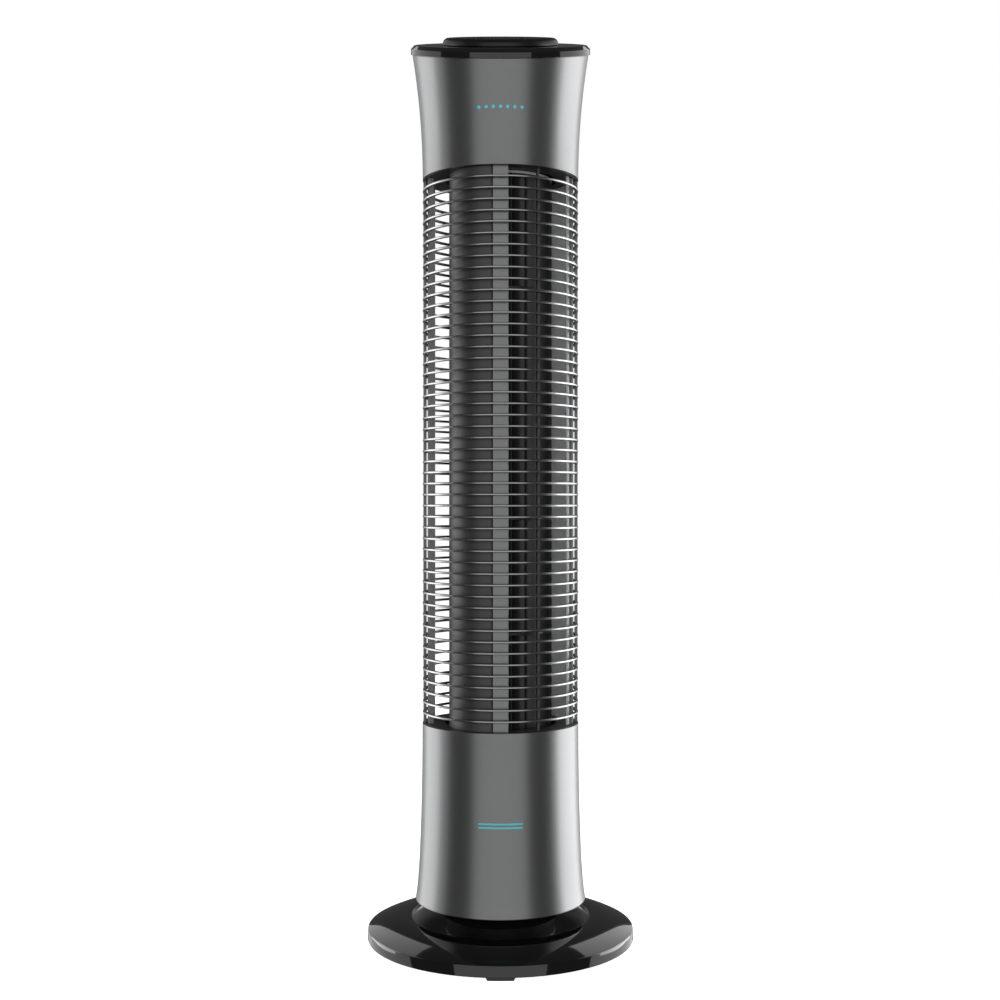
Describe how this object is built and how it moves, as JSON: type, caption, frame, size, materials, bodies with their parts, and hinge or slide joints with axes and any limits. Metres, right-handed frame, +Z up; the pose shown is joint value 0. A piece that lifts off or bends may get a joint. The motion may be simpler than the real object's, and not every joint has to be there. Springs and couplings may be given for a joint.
{
  "type": "tower fan",
  "caption": "Slim oscillating tower fan with a cross-flow wheel, ringed grille, silver collars, slanted control top and round black base.",
  "frame": {"origin": "on the floor under the tower's axis, at the centre of the base's bounding box", "axes": "+Z up along the tower, -Y toward the front of the fan, +X to the viewer's right when facing the front"},
  "size_m": [0.2174, 0.2174, 0.7619],
  "materials": {
    "black_gloss": "deep black, mirror gloss",
    "silver": "satin silver metallic paint",
    "bright_ring": "bright metallised plating",
    "dark_plastic": "dark grey satin moulding",
    "grey_plastic": "mid grey satin moulding",
    "light_plastic": "light grey satin moulding",
    "white_plastic": "plain white moulding",
    "wheel_black": "black satin moulding",
    "wheel_grey": "grey satin moulding",
    "base_steel": "black painted sheet steel",
    "rubber": "matt black",
    "steel": "plain steel",
    "winding": "copper winding and laminations",
    "bronze": "sintered bronze",
    "board": "printed circuit board",
    "lens": "smoked clear window"
  },
  "bodies": {
    "base": {"base_cover": "black_gloss", "base_plate": "base_steel", "foot_front": "rubber", "foot_right": "rubber", "foot_rear": "rubber", "foot_left": "rubber", "base_screw_1": "steel", "base_screw_2": "steel", "base_screw_3": "steel", "base_screw_4": "steel", "thrust_washer": "white_plastic", "sector_gear": "white_plastic"},
    "tower": {"swivel_ring": "black_gloss", "tower_floor": "dark_plastic", "lower_collar": "silver", "cord_gland": "rubber", "oscillation_motor": "steel", "main_board": "board", "capacitor": "white_plastic", "motor_upper_shell": "steel", "motor_lower_shell": "steel", "motor_stator": "winding", "duct_floor": "dark_plastic", "duct_ceiling": "dark_plastic", "left_pillar": "grey_plastic", "right_pillar": "grey_plastic", "scroll_wall": "light_plastic", "stabiliser": "dark_plastic", "centre_strip": "silver", "grille_rib": "dark_plastic", "front_grille": "bright_ring", "rear_grille": "bright_ring", "top_bush": "bronze", "upper_collar": "silver", "top_cap": "black_gloss", "control_disc": "black_gloss", "display_lens": "lens", "control_board": "board"},
    "impeller": {"motor_rotor": "steel", "motor_shaft": "steel", "wheel_hub": "wheel_black", "wheel_segment_1": "wheel_black", "wheel_segment_2": "wheel_black", "wheel_segment_3": "wheel_black", "wheel_segment_4": "wheel_black", "wheel_segment_5": "wheel_black", "wheel_top": "wheel_grey"},
    "pinion": {"pinion": "white_plastic"},
    "button_1": {"button_1": "grey_plastic"},
    "button_2": {"button_2": "grey_plastic"},
    "button_3": {"button_3": "grey_plastic"},
    "button_4": {"button_4": "grey_plastic"}
  },
  "joints": [
    {"name": "oscillate", "type": "hinge", "parent": "base", "child": "tower", "pos_m": [0, 0, 0.03], "axis": [0, 0, 1], "range_deg": [-35, 35]},
    {"name": "wheel_spin", "type": "hinge", "parent": "tower", "child": "impeller", "pos_m": [0, 0, 0.4], "axis": [0, 0, 1], "continuous": true},
    {"name": "pinion_turn", "type": "hinge", "parent": "tower", "child": "pinion", "pos_m": [0, 0.0315, 0.0328], "axis": [0, 0, 1], "range_deg": [-87.5, 87.5]},
    {"name": "press_1", "type": "slide", "parent": "tower", "child": "button_1", "axis": [0, 0.3256, -0.9455], "range_m": [0, 0.001], "stiffness_N_per_m": 400},
    {"name": "press_2", "type": "slide", "parent": "tower", "child": "button_2", "axis": [0, 0.3256, -0.9455], "range_m": [0, 0.001], "stiffness_N_per_m": 400},
    {"name": "press_3", "type": "slide", "parent": "tower", "child": "button_3", "axis": [0, 0.3256, -0.9455], "range_m": [0, 0.001], "stiffness_N_per_m": 400},
    {"name": "press_4", "type": "slide", "parent": "tower", "child": "button_4", "axis": [0, 0.3256, -0.9455], "range_m": [0, 0.001], "stiffness_N_per_m": 400}
  ],
  "couplings": [
    {"joint": "pinion_turn", "follows": "oscillate", "ratio": 2.5}
  ]
}
